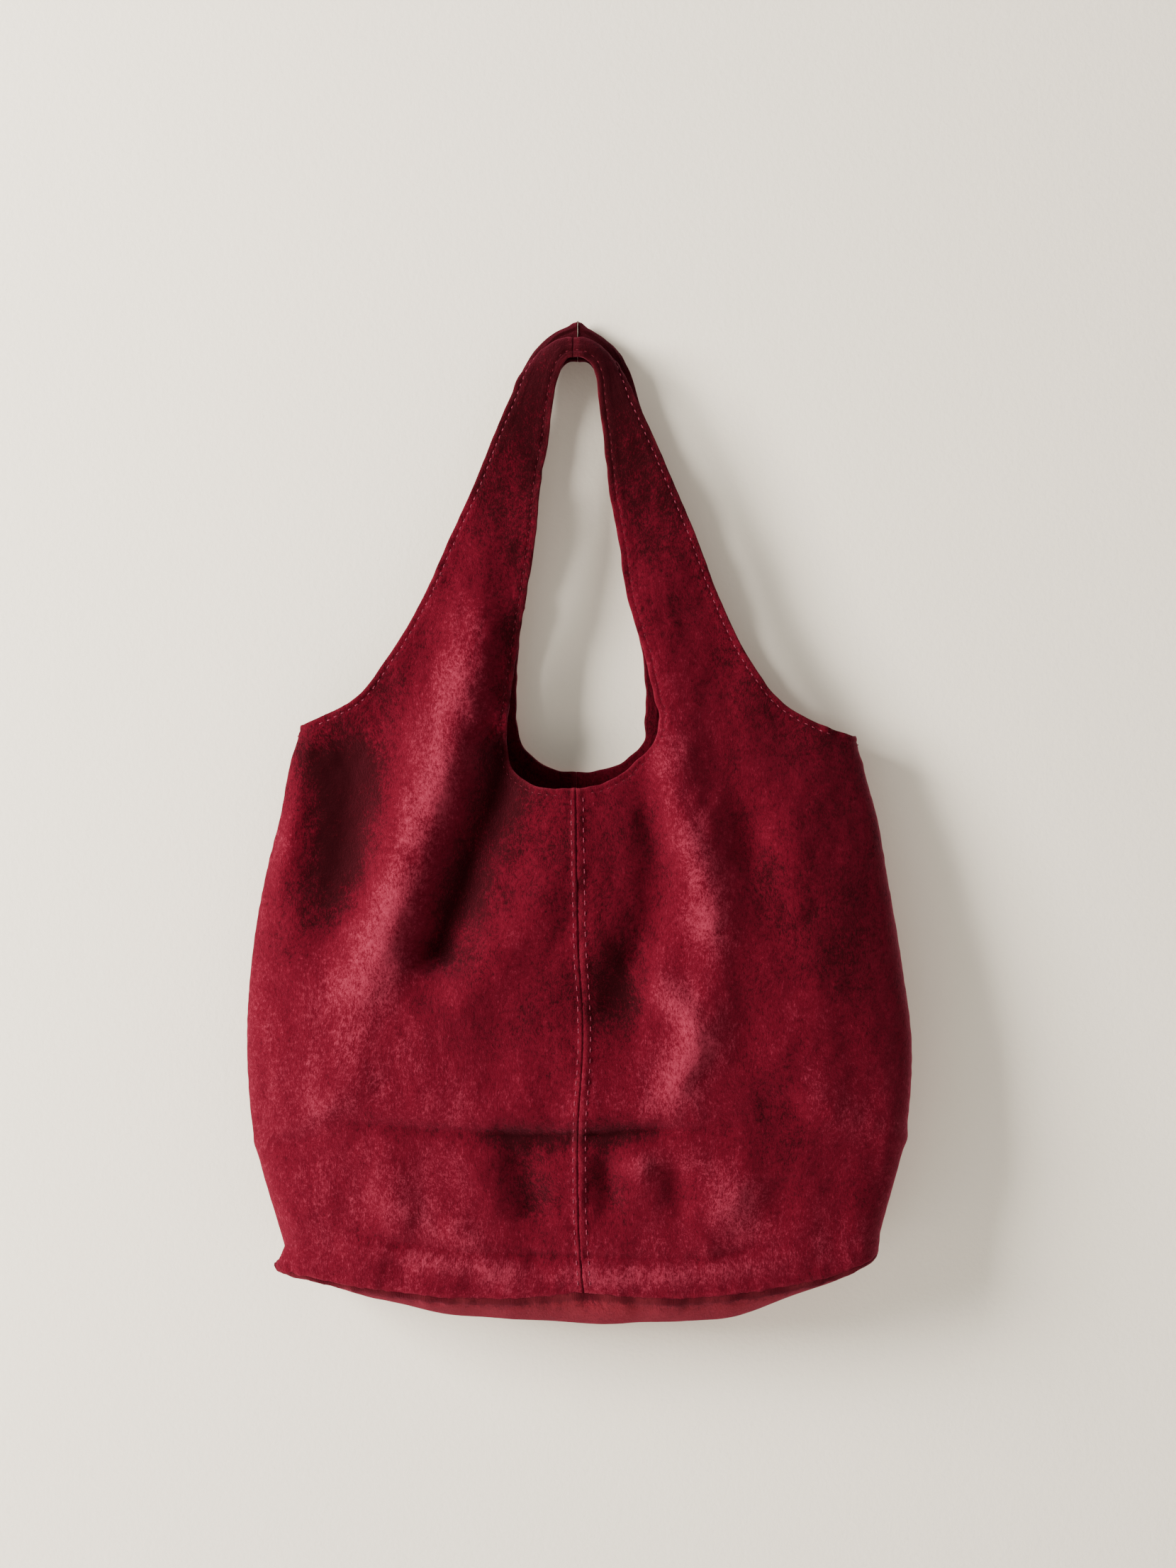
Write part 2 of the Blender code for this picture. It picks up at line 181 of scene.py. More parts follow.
# How far in the hems are stitched, a little further along the neckline
HEM_INSET = 4 * MM
NECKLINE_INSET = 4.4 * MM
CENTRE_INSET = {"left": 2.9 * MM, "right": 4.5 * MM}
# How far the hide rolls in at each seam
SEAM_ROLLS = (("to_seam", 1.1 * MM), ("to_side", 1.5 * MM), ("to_base", 2.4 * MM), ("to_join", 1.0 * MM))
SEAM_GAP = 0.05 * MM
BASE_ROLL = 2.0 * MM
BASE_COLUMNS, BASE_ROWS = 150, 40
# Unevenness all over a hide: height, wavelength, seed and stretch
UNEVEN = ((0.7 * MM, 46 * MM, 3, 1.8), (0.2 * MM, 15 * MM, 8, 1.3))
# The corner of hide that stands up at the outer edge of the back strap join
JOIN_EAR = {"left": 1.6 * MM, "right": 3.2 * MM}

STITCH_RADIUS = 0.35 * MM
STITCH_RINGS, STITCH_SIDES = 7, 8
TOP_PITCH = 6.5 * MM
HEM_PITCH = 5.2 * MM


# ---------------------------------------------------------------- shape helpers


def smooth_curve(knots, values, at):
    """Cubic curve through values at rising knots."""
    knots, values, at = (np.asarray(x, float) for x in (knots, values, at))
    slopes = np.gradient(values, knots, axis=0)
    i = np.clip(np.searchsorted(knots, at, side="right") - 1, 0, len(knots) - 2)
    span = knots[i + 1] - knots[i]
    t = (at - knots[i]) / span
    if values.ndim > 1:
        span, t = span[..., None], t[..., None]
    return (
        (1 + 2 * t) * (1 - t) ** 2 * values[i]
        + t * t * (3 - 2 * t) * values[i + 1]
        + span * t * (1 - t) ** 2 * slopes[i]
        - span * t * t * (1 - t) * slopes[i + 1]
    )


def table(pairs, at):
    """A table in millimetres read smoothly at a height or a place in metres."""
    knots, values = np.array(pairs, float).T
    return smooth_curve(knots * MM, values * MM, at)


def between(pairs, at):
    """A table read in straight stretches from point to point."""
    return np.interp(at, *np.array(pairs, float).T)


def walked(line):
    """How far along a line of points each of them is."""
    return np.concatenate([[0], np.cumsum(np.linalg.norm(np.diff(line, axis=0), axis=1))])


def read_line(at, length, line):
    """Points of a line at distances along it."""
    return np.stack([np.interp(at, length, line[:, k]) for k in range(3)], -1)


def bell(distance, width):
    """One at no distance, fading smoothly to nothing over a few widths."""
    return np.exp(-((distance / width) ** 2))


def ease(t):
    t = np.clip(t, 0, 1)
    return t * t * (3 - 2 * t)


def outline(points, corners, at):
    """Reads an outline at fractional point numbers. It turns sharply only at its corners."""
    points = np.array(points, float) * MM
    at = np.asarray(at, float)
    made = np.zeros((len(at), 2))
    stops = (0, *corners, len(points) - 1)
    for low, high in zip(stops, stops[1:]):
        part = points[low : high + 1]
        length = walked(part)
        here = (at >= low) & (at <= high)
        place = np.interp(at[here], np.arange(low, high + 1), length)
        made[here] = smooth_curve(length, part, place)
    return made


def outlines(face, hand):
    half = f"{face}_{hand}"
    inner = CENTRE_SEAM + NECKLINE_MIDDLE[face] + NECKLINE[half] + STRAP_INNER[half] + CROWN_INNER[half]
    outer = SIDE[hand] + ARMHOLE[hand] + CROWN_OUTER[half]
    return inner, outer


def row_places(inner, outer):
    """Fractional point numbers of the grid's rows: evenly spaced over the hide, closer at the bottom seam."""
    fine = np.linspace(0, JOIN, JOIN * 40 + 1)
    a = outline(inner, (SEAM_END,), fine)
    b = outline(outer, (NOTCH, CORNER), between(PAIRED, fine))
    step = np.maximum(np.linalg.norm(np.diff(a, axis=0), axis=1), np.linalg.norm(np.diff(b, axis=0), axis=1))
    length = np.concatenate([[0], np.cumsum(step)])
    places = []
    for low, high in ((0, SEAM_END), (SEAM_END, NECK_TOP), (NECK_TOP, FOLD), (FOLD, JOIN)):
        start, end = np.interp((low, high), fine, length)
        count = max(2, int(round((end - start) / ROW_STEP)))
        stretch = np.linspace(start, end, count + 1)
        if low == 0:
            close = np.arange(BASE_EDGE_ROWS) * EDGE_STEP
            stretch = np.concatenate([close, stretch[stretch > BASE_EDGE_ROWS * EDGE_STEP]])
        if high == JOIN:
            close = end - np.arange(JOIN_EDGE_ROWS)[::-1] * EDGE_STEP
            stretch = np.concatenate([stretch[stretch < end - JOIN_EDGE_ROWS * EDGE_STEP], close])
        places.append(np.interp(stretch, length, fine)[0 if low == 0 else 1 :])
    return np.concatenate(places)


# ---------------------------------------------------------------- folds

# Folds in millimetres: path (x, z), half width, height outwards, length it fades in and out over, and painted
# light.
# The painted light is a painted highlight on the ridges and painted shade in the hollows, added to the suede's
# colour.
FRONT_FOLDS = (
    (
        ((-60, -120), (-72, -210), (-86, -268), (-102, -317), (-117, -364), (-135, -412), (-150, -455)),
        20, 12, 110, 1.1,
    ),
    (((-126, -222), (-141, -258), (-146, -312), (-146, -366)), 24, -14, 44, -1.25),
    (((-168, -250), (-178, -292), (-188, -340)), 9, 3.5, 30, 0.3),
    (((-34, -150), (-40, -190), (-45, -240)), 15, -8, 30, -0.7),
    (((-43, -228), (-52, -272), (-68, -320), (-82, -360), (-92, -391)), 19, -20, 22, -1.1),
    (((-108, -424), (-66, -396), (-32, -356), (-8, -318)), 16, 6, 34, 0.1),
    (((38, -120), (62, -222), (68, -268), (76, -317), (82, -364), (77, -412), (66, -462)), 17, 7, 60, 0.2),
    (((54, -232), (60, -289), (75, -325), (82, -358), (86, -378)), 10, 3, 30, 0.5),
    (((38, -386), (51, -393), (64, -405), (69, -418), (68, -434), (62, -448), (52, -464)), 9, 5, 14, 0.55),
    (((38, -262), (47, -317), (46, -344), (38, -385), (33, -432)), 12, -7, 40, -0.3),
    (((37, -356), (25, -382), (23, -424)), 12, -8, 20, -0.4),
    (((92, -256), (103, -300), (112, -350)), 12, -5, 40, -0.3),
    (((126, -240), (138, -300), (144, -380), (138, -450)), 20, 5, 60, 0.15),
    (((150, -338), (143, -348), (136, -356)), 4, -1.6, 8, -0.3),
    (((-150, -475), (-80, -480), (-20, -483), (40, -480), (95, -478)), 4.2, -3.4, 50, -0.45),
    (((-60, -482), (-20, -484), (30, -482), (62, -479)), 8, -3.2, 20, -0.6),
    (((-150, -460), (-80, -466), (-20, -469), (40, -467), (95, -464)), 9, 3, 40, 0.12),
    (((-140, -541), (-90, -551), (-40, -555), (0, -556), (70, -557), (135, -548)), 3.4, -2.2, 40, -0.25),
    (((-140, -551), (-60, -564), (0, -567), (70, -567), (135, -557)), 5, 1.8, 40, 0.45),
    (((-84, -528), (-62, -552), (-44, -572)), 9, 3, 16, 0.25),
    (((-122, -556), (-96, -566)), 10, -2.5, 10, -0.35),
    (((-34, -556), (-14, -570)), 8, -2.5, 10, -0.3),
    (((70, -536), (86, -566)), 9, 2.5, 14, 0.2),
    (((-40, -486), (-31, -510), (-22, -540)), 15, -8, 16, -0.7),
    (((16, -488), (20, -540)), 9, -7, 18, -0.6),
    (((36, -490), (41, -512)), 9, 5, 14, 0.6),
    (((-194, -480), (-160, -468), (-118, -436)), 9, 3, 34, 0.3),
    (((-196, -492), (-160, -484)), 5, -2.5, 18, -0.2),
    (((194, -484), (160, -470), (120, -444)), 10, 3, 34, 0.2),
    (((-124, -500), (-98, -544)), 13, 3.5, 20, 0.25),
    (((96, -498), (90, -546)), 12, 4, 20, 0.35),
    (((58, -494), (64, -538)), 9, -4.5, 18, -0.45),
    (((130, -500), (122, -540)), 12, -3.5, 18, -0.3),
)
BACK_FOLDS = (
    (((-58, -130), (-78, -220), (-100, -300), (-112, -380)), 19, 5, 60, 0.35),
    (((58, -130), (78, -220), (98, -300), (110, -380)), 19, 5, 60, 0.35),
    (((-14, -275), (-36, -340), (-52, -410)), 17, -8, 40, -0.3),
    (((24, -275), (46, -350), (56, -430)), 17, -9, 40, -0.3),
    (((-138, -240), (-156, -300), (-160, -370)), 14, -8, 40, -0.3),
    (((138, -240), (154, -300), (158, -380)), 14, -7, 40, -0.3),
    (((-150, -478), (-50, -482), (50, -481), (150, -477)), 4, -3, 40, -0.3),
    (((-150, -466), (-50, -470), (50, -469), (150, -465)), 9, 2.2, 40, 0.1),
    (((-130, -546), (0, -556), (130, -546)), 4, -2.4, 40, -0.2),
)
# Soft spots of painted shade and painted highlight on the front: centre x, z, half width, half height, painted
# light
FRONT_PAINTED_SPOTS = (
    (114, -400, 24, 66, -0.28),
    (-96, -524, 60, 34, 0.16),
    (70, -440, 40, 50, 0.12),
    (84, -530, 50, 34, 0.24),
    (165, -380, 26, 60, -0.5),
    (146, -300, 34, 60, -0.3),
    (-18, -330, 30, 64, -0.4),
    (-30, -430, 40, 34, -0.3),
    (16, -400, 12, 60, -0.4),
    (120, -480, 40, 26, -0.3),
    (-60, -566, 60, 9, -0.05),
    (88, -566, 60, 9, -0.1),
)
# Painted light over the whole hide at each height in millimetres: painted shade towards the hook, a touch of
# painted highlight low down
PAINTED_LIGHT_BY_HEIGHT = (
    (-600, 0.08), (-430, 0.10), (-300, -0.05), (-200, -0.24), (-100, -0.50), (-40, -0.95), (30, -1.15),
)


def fold_relief(x, z, folds):
    """Height of the folds above the plain hide, and their painted highlight on ridges and painted shade in
    hollows, at points of the x-z plane in metres.
    """
    height, nap = np.zeros_like(x), np.zeros_like(x)
    for path, width, rise, fade, painted_amount in folds:
        path = np.array(path, float) * MM
        length = walked(path)
        at = np.linspace(0, length[-1], 60)
        line = smooth_curve(length, path, at)
        best = np.full(x.shape, 1e9)
        along = np.zeros_like(x)
        for point, place in zip(line, at):
            distance = (x - point[0]) ** 2 + (z - point[1]) ** 2
            nearer = distance < best
            best = np.where(nearer, distance, best)
            along = np.where(nearer, place, along)
        end = np.minimum(along, length[-1] - along)
        strength = 0.2 + 0.8 * ease(end / (fade * MM))
        height += rise * MM * strength * np.exp(-best / (width * MM) ** 2)
        nap += painted_amount * strength * np.exp(-best / (1.25 * width * MM) ** 2)
    return height, nap


def spot_nap(x, z, spots):
    """Painted shade and painted highlight of the soft spots at points of the x-z plane in metres."""
    nap = np.zeros_like(x)
    for spot_x, spot_z, wide, high, painted_amount in spots:
        nap += painted_amount * np.exp(-(((x / MM - spot_x) / wide) ** 2) - ((z / MM - spot_z) / high) ** 2)
    return nap


def ripples(x, z, wavelength, seed, stretch=1.0, waves=14):
    """Smooth seeded unevenness between about -1 and 1."""
    random = np.random.default_rng(seed)
    made = np.zeros_like(x)
    for _ in range(waves):
        turn = random.uniform(0, 2 * math.pi)
        scale = 2 * math.pi / wavelength * random.uniform(0.6, 1.6)
        start = random.uniform(0, 2 * math.pi)
        made += np.cos(scale * (x * math.cos(turn) + z * math.sin(turn) / stretch) + start)
    return made / math.sqrt(waves / 2)


# ---------------------------------------------------------------- hides


class Hide:
    """One hide as a grid: middle surface, outward normals and distances to its edges."""


def distance_to(points, line):
    """Distance of each grid point to a line of points."""
    flat = points.reshape(-1, 3)
    best = np.full(len(flat), 1e9)
    for i in range(len(line) - 1):
        start, run = line[i], line[i + 1] - line[i]
        share = np.clip((flat - start) @ run / max(run @ run, 1e-12), 0, 1)
        gap = ((flat - start - share[:, None] * run) ** 2).sum(1)
        best = np.minimum(best, gap)
    return np.sqrt(best).reshape(points.shape[:2])


def make_hide(face, hand):
    """Lays a hide out as a grid between its outlines, swells it, folds it and rolls its top over the hook."""
    inner, outer = outlines(face, hand)
    places = row_places(inner, outer)
    a = outline(inner, (SEAM_END,), places)[:, None]
    b = outline(outer, (NOTCH, CORNER), between(PAIRED, places))[:, None]
    crease_x, crease_z, crease_high = CREASE_BUMP[hand]
    b[..., 0] += crease_x * MM * bell(b[..., 1] / MM - crease_z, crease_high)
    t = np.linspace(0, 1, COLUMNS)
    v = (0.45 * t + 0.55 * (1 - np.cos(math.pi * t)) / 2)[None, :]
    shape = CROWN_ROLL[face]
    roll = ease((places - CROWN + 1) / (JOIN - CROWN))[:, None]
    dip = between(DIP, places)[:, None] * MM
    share = between(EDGE_SHARE, places)[:, None]
    x = a[..., 0] * (1 - v) + b[..., 0] * v
    hang = table(BOTTOM_EDGE, x[:1]) - (a[0, 0, 1] * (1 - v) + b[0, 0, 1] * v)
    z = a[..., 1] * (1 - v) + b[..., 1] * v + hang * share - 4 * dip * v * (1 - v)
    z = z + 2 * v * (1 - v) * shape["lift"] * MM * roll
    reach = np.maximum(np.abs(b[..., 0]), ARMHOLE_REACH)
    power = between(SQUARENESS, z / MM)
    swell = (1 - np.clip(np.abs(x) / reach, 0, 1) ** power) ** (1 / power)
    seam_y = table(SIDE_DEPTH, z)
    y = seam_y + (table(MIDDLE_DEPTH[face], z) - seam_y) * swell
    rolled = (shape["inner"] * (1 - v) ** 2 + 2 * shape["crest"] * v * (1 - v) + shape["outer"] * v**2) * MM
    y = y * (1 - roll) + rolled * roll
    # The folds fade out towards the hook and towards the side seam
    calm = ease(-z / (60 * MM)) * np.clip((1 - np.abs(x) / reach) / 0.07, 0, 1)
    relief, nap = fold_relief(x, z, FRONT_FOLDS if face == "front" else BACK_FOLDS)
    for high, wavelength, seed, stretch in UNEVEN:
        relief += high * ripples(x, z, wavelength, seed + len(face), stretch)
    y = y + (-1 if face == "front" else 1) * relief * calm
    if face == "back":
        wall = cad_high.y
        y = wall - soft_floor(wall - y, 3 * MM)
    # The free edge of the neckline and strap wanders a little
    spread = np.stack([x, z], -1)
    away = np.cumsum(np.linalg.norm(np.diff(spread, axis=1, prepend=spread[:, :1]), axis=2), 1)
    loose = (places[:, None] > SEAM_END) * bell(away, 9 * MM) * np.clip(-z / (80 * MM), 0, 1)
    x = x + 0.2 * MM * loose * ripples(x, z, 16 * MM, 25 + len(hand))
    z = z + 0.25 * MM * loose * ripples(x, z, 16 * MM, 27 + len(hand))
    if face == "back":
        from_join = np.abs(x - a[-1, :, 0])
        z = z + JOIN_EAR[hand] * bell(from_join - 2.2 * MM, 2.4 * MM) * v**8
    hide = Hide()
    hide.name, hide.face, hide.hand, hide.places = f"{face}_{hand}_hide", face, hand, places
    hide.middle = np.stack([x, y, z], axis=-1)
    # Painted shade and painted highlight from the folds, the heights and, on the front, the soft spots
    nap = nap + between(PAINTED_LIGHT_BY_HEIGHT, z / MM)
    hide.nap = nap + (spot_nap(x, z, FRONT_PAINTED_SPOTS) if face == "front" else 0)
    return hide


def soft_floor(depth, softness):
    """Depth behind the wall plane, held at or above zero with a soft shoulder."""
    held = np.clip(depth, -50 * softness, softness)
    return np.where(depth > softness, depth, softness * np.exp(held / softness - 1))


def edge_profile(distance, radius):
    """Share of the full thickness at a distance in from a turned edge."""
    share = np.clip(distance / radius, 0, 1)
    return np.sqrt(1 - (1 - share) ** 2)


def surface_normals(middle):
    """Unit normals of a grid."""
    normal = np.cross(np.gradient(middle, axis=1), np.gradient(middle, axis=0))
    return normal / np.maximum(np.linalg.norm(normal, axis=-1, keepdims=True), 1e-12)


def measure_edges(hide):
    """Gives the hide its outward normals and each point's distance to every seam and hem."""
    middle = hide.middle
    seam_rows = np.flatnonzero(hide.places <= SEAM_END + 1e-6)
    side_rows = np.flatnonzero(between(PAIRED, hide.places) <= CORNER + 1e-6)
    hide.seam_rows = seam_rows
    hide.to_seam = distance_to(middle, middle[seam_rows, 0][::2])
    hide.to_side = distance_to(middle, middle[side_rows, -1][::2])
    hide.to_base = distance_to(middle, middle[0, ::3])
    hide.to_join = distance_to(middle, middle[-1, ::3])
    hide.sewn = np.minimum(np.minimum(hide.to_seam, hide.to_side), np.minimum(hide.to_base, hide.to_join))
    hide.to_neck = distance_to(middle, middle[seam_rows[-1] :, 0])
    hide.to_arm = distance_to(middle, middle[side_rows[-1] :, -1])
    hide.hemmed = np.minimum(hide.to_neck, hide.to_arm)
    hide.normal = (1 if (hide.face == "front") == (hide.hand == "right") else -1) * surface_normals(middle)


def sewing_relief(hide, hem):
    """How far seam allowances and hems stand up, stitch rows press down and the seams pucker the hide."""
    x, z = hide.middle[..., 0], hide.middle[..., 2]
    inset = CENTRE_INSET[hide.hand]
    band = ease((inset + 1.6 * MM - hide.to_seam) / (1.6 * MM)) * 0.7 * MM
    row = -0.55 * MM * bell(hide.to_seam - inset, 0.9 * MM)
    hem_row = -0.5 * MM * bell(hide.hemmed - HEM_INSET, 0.9 * MM)
    pucker = 0.3 * MM * np.sin(z / (6.4 * MM) * 2 * math.pi) * bell(hide.to_seam, 8 * MM)
    pucker = pucker + 0.35 * MM * ripples(x, z, 9 * MM, 21) * bell(hide.sewn, 9 * MM)
    pucker = pucker + 0.3 * MM * ripples(x, z, 13 * MM, 22) * bell(hide.hemmed, 8 * MM)
    pucker = pucker * (1 - 0.85 * bell(hide.to_side, 10 * MM))
    near_seam = (hide.to_seam < 20 * MM).astype(float)
    return (band + row) * near_seam + hem * 0.25 * MM + hem_row + pucker


def dress_hide(hide):
    """Gives the hide its two surfaces, with rolled seams, double hems and sewing."""
    measure_edges(hide)
    middle, normal = hide.middle, hide.normal
    hem = ease((HEM_WIDTH - hide.hemmed) / HEM_SLOPE)
    lift = sewing_relief(hide, hem)
    tuck = np.zeros_like(hide.sewn)
    for distance, radius in SEAM_ROLLS:
        tuck = np.maximum(tuck, radius * (1 - edge_profile(getattr(hide, distance), radius)))
    round_hem = edge_profile(hide.hemmed, HEM_SLOPE)
    over = HIDE_HALF * round_hem
    under = (HIDE_HALF + 1.3 * MM * hem) * round_hem
    hide.top = middle + normal * (lift + over - tuck)[..., None]
    hide.bottom = middle + normal * (lift * 0.4 - under - tuck)[..., None]
    # At the centre seam and the strap join the two hides meet, with a hair's breadth between them
    gap = SEAM_GAP * (1 if hide.hand == "right" else -1)
    for surface in (hide.top, hide.bottom):
        surface[hide.seam_rows, 0, 0] = middle[hide.seam_rows, 0, 0] + gap
        surface[-1, :, 0] = middle[-1, :, 0] + gap
    return hide


def add_object(name, data):
    made = bpy.data.objects.new(name, data)
    bpy.context.scene.collection.objects.link(made)
    return made


def set_values(mesh, name, values):
    """Writes a number or a vector for each vertex, for the material to read."""
    vector = values.ndim == 2
    layer = mesh.attributes.new(name, "FLOAT_VECTOR" if vector else "FLOAT", "POINT")
    layer.data.foreach_set("vector" if vector else "value", values.astype(np.float32).ravel())


def shell_mesh(name, top, bottom, values):
    """Closed quad mesh between two grids, with smooth shading and per-vertex values."""
    rows, columns = top.shape[:2]
    shift = rows * columns
    over = np.arange(shift).reshape(rows, columns)
    under = over + shift
    rim = np.concatenate([over[0, :-1], over[:-1, -1], over[-1, :0:-1], over[:0:-1, 0]])
    ahead = np.roll(rim, -1)
    quads = np.concatenate([
        np.stack([over[:-1, :-1], over[:-1, 1:], over[1:, 1:], over[1:, :-1]], -1).reshape(-1, 4),
        np.stack([under[:-1, :-1], under[1:, :-1], under[1:, 1:], under[:-1, 1:]], -1).reshape(-1, 4),
        np.stack([ahead, rim, rim + shift, ahead + shift], -1),
    ])
    points = np.concatenate([top.reshape(-1, 3), bottom.reshape(-1, 3)])
    mesh = bpy.data.meshes.new(name)
    mesh.from_pydata(points.tolist(), [], quads.tolist())
    if signed_volume(points, quads) < 0:
        mesh.flip_normals()
    for key, value in values.items():
        set_values(mesh, key, value)
    mesh.shade_smooth()
    mesh.update()
    return add_object(name, mesh)


def signed_volume(points, quads):
    """Above zero where the quads face outwards."""
    a, b, c, d = (points[quads[:, i]] for i in range(4))
    return float((np.einsum("ij,ij->i", a, np.cross(b, c)) + np.einsum("ij,ij->i", a, np.cross(c, d))).sum())


# ---------------------------------------------------------------- stitches


def path_at(hide, field, inset, rows, from_outer):
    """Points and normals on the outer surface where each row is first as far in from an edge as the inset."""
    points, normals = [], []
    for r in rows:
        distance, top, normal = field[r], hide.top[r], hide.normal[r]
        if from_outer:
            distance, top, normal = distance[::-1], top[::-1], normal[::-1]
        far = np.flatnonzero(distance >= inset)
        if len(far) == 0 or far[0] == 0:
            continue
        i = far[0]
        share = (inset - distance[i - 1]) / (distance[i] - distance[i - 1])
        points.append(top[i - 1] + (top[i] - top[i - 1]) * share)
        normals.append(normal[i - 1] + (normal[i] - normal[i - 1]) * share)
    return np.array(points), np.array(normals)


def resampled(points, normals, step=0.5 * MM):
    """Evenly spaced distances along a line, with the points and unit normals there."""
    length = walked(points)
    keep = np.concatenate([[True], np.diff(length) > 1e-7])
    length, points, normals = length[keep], points[keep], normals[keep]
    at = np.arange(0, length[-1], step)
    lift = read_line(at, length, normals)
    return at, read_line(at, length, points), lift / np.linalg.norm(lift, axis=1, keepdims=True)


def stitch_row(name, points, normals, pitch, share, radius, seed, sink=0.35 * MM):
    """A row of separate stitches: each one dives into the hide at both ends."""
    at, place, lift = resampled(points, normals)
    random = np.random.default_rng(seed)
    rings, sides = STITCH_RINGS, STITCH_SIDES
    vertices, faces, along = [], [], []
    start = pitch * 0.3
    while start + pitch * share < at[-1]:
        long = pitch * share * random.uniform(0.93, 1.06)
        sway = random.normal(0, 0.08 * MM)
        centre_at = np.linspace(start, start + long, rings)
        line = read_line(centre_at, at, place)
        up = read_line(centre_at, at, lift)
        forward = np.gradient(line, axis=0)
        forward /= np.linalg.norm(forward, axis=1, keepdims=True)
        aside = np.cross(forward, up)
        aside /= np.linalg.norm(aside, axis=1, keepdims=True)
        arch = np.sin(np.linspace(0, math.pi, rings)) ** 0.6
        line = line + up * ((arch - 1) * 2.1 * sink + radius * 0.55)[:, None] + aside * sway
        thick = radius * (0.55 + 0.45 * np.sin(np.linspace(0.25, math.pi - 0.25, rings)) ** 0.5)
        base = len(vertices)
        for k in range(rings):
            for s in range(sides):
                angle = 2 * math.pi * s / sides
                away = up[k] * math.sin(angle) * 0.85 + aside[k] * math.cos(angle)
                vertices.append(line[k] + away * thick[k])
                along.append((centre_at[k], angle * radius, 0))
        for k in range(rings - 1):
            ring = base + k * sides
            for s in range(sides):
                n = (s + 1) % sides
                faces.append((ring + s, ring + n, ring + sides + n, ring + sides + s))
        faces.append(tuple(base + s for s in range(sides - 1, -1, -1)))
        faces.append(tuple(base + (rings - 1) * sides + s for s in range(sides)))
        start += pitch
    mesh = bpy.data.meshes.new(name)
    mesh.from_pydata([tuple(v) for v in vertices], [], faces)
    set_values(mesh, "thread_place", np.array(along))
    mesh.shade_smooth()
    fix_outward(mesh)
    return add_object(name, mesh)


def fix_outward(mesh):
    """Turns the faces of a row of stitches outwards, judged by its first stitch."""
    points = np.array([v.co for v in mesh.vertices])
    first = mesh.polygons[0]
    centre = points[: STITCH_RINGS * STITCH_SIDES].mean(0)
    if (np.array(first.center) - centre) @ np.array(first.normal) < 0:
        mesh.flip_normals()


# ---------------------------------------------------------------- materials


def new_material(name):
    made = bpy.data.materials.new(name)
    made.use_nodes = True
    return made, made.node_tree, made.node_tree.nodes["Principled BSDF"]


def bumped(tree, height, strength, distance, normal=None):
    """Normal made uneven by a height, on top of another normal if one is given."""
    made = tree.nodes.new("ShaderNodeBump")
    made.inputs["Strength"].default_value = strength
    made.inputs["Distance"].default_value = distance
    tree.links.new(height, made.inputs["Height"])
    if normal is not None:
        tree.links.new(normal, made.inputs["Normal"])
    return made.outputs["Normal"]


def noise(tree, place, scale, detail, stretch=None, roughness=0.6):
    if stretch:
        mapping = tree.nodes.new("ShaderNodeMapping")
        mapping.inputs["Scale"].default_value = stretch
        tree.links.new(place, mapping.inputs["Vector"])
        place = mapping.outputs["Vector"]
    made = tree.nodes.new("ShaderNodeTexNoise")
    made.inputs["Scale"].default_value = scale
    made.inputs["Detail"].default_value = detail
    made.inputs["Roughness"].default_value = roughness
    tree.links.new(place, made.inputs["Vector"])
    return made.outputs["Fac"]


def ramp(tree, value, low, high):
    made = tree.nodes.new("ShaderNodeMapRange")
    made.interpolation_type = "SMOOTHSTEP"
    made.inputs["From Min"].default_value = low
    made.inputs["From Max"].default_value = high
    tree.links.new(value, made.inputs["Value"])
    return made.outputs["Result"]


def mixed(tree, share, first, second):
    """Colour between two; either may be a colour or another mix."""
    made = tree.nodes.new("ShaderNodeMix")
    made.data_type = "RGBA"
    sockets = [s for s in made.inputs if s.type == "RGBA"]
    for socket, value in zip(sockets, (first, second)):
        if isinstance(value, tuple):
            socket.default_value = (*value, 1)
        else:
            tree.links.new(value, socket)
    factor = next(s for s in made.inputs if s.name == "Factor" and s.type == "VALUE")
    tree.links.new(share, factor)
    return next(s for s in made.outputs if s.type == "RGBA")


def scaled(tree, value, by):
    made = tree.nodes.new("ShaderNodeMath")
    made.operation = "MULTIPLY"
    tree.links.new(value, made.inputs[0])
    made.inputs[1].default_value = by
    return made.outputs[0]


def attribute(tree, name):
    made = tree.nodes.new("ShaderNodeAttribute")
    made.attribute_name = name
    return made


def summed(tree, *terms):
    """Sum of (value, weight, middle) terms, each counted from its middle."""
    total = None
    for value, weight, middle in terms:
        part = tree.nodes.new("ShaderNodeMath")
        part.operation = "MULTIPLY_ADD"
        tree.links.new(value, part.inputs[0])
        part.inputs[1].default_value = weight
        part.inputs[2].default_value = -weight * middle
        if total is None:
            total = part.outputs[0]
            continue
        both = tree.nodes.new("ShaderNodeMath")
        both.operation = "ADD"
        tree.links.new(total, both.inputs[0])
        tree.links.new(part.outputs[0], both.inputs[1])
        total = both.outputs[0]
    return total


def swirled(tree, place, amount):
    """The place pushed about by slow noise, so that strokes of nap bend."""
    slow = tree.nodes.new("ShaderNodeTexNoise")
    slow.inputs["Scale"].default_value = 14
    slow.inputs["Detail"].default_value = 2
    tree.links.new(place, slow.inputs["Vector"])
    push = tree.nodes.new("ShaderNodeVectorMath")
    push.operation = "MULTIPLY_ADD"
    tree.links.new(slow.outputs["Color"], push.inputs[0])
    push.inputs[1].default_value = (amount, amount, 0)
    tree.links.new(place, push.inputs[2])
    return push.outputs["Vector"]


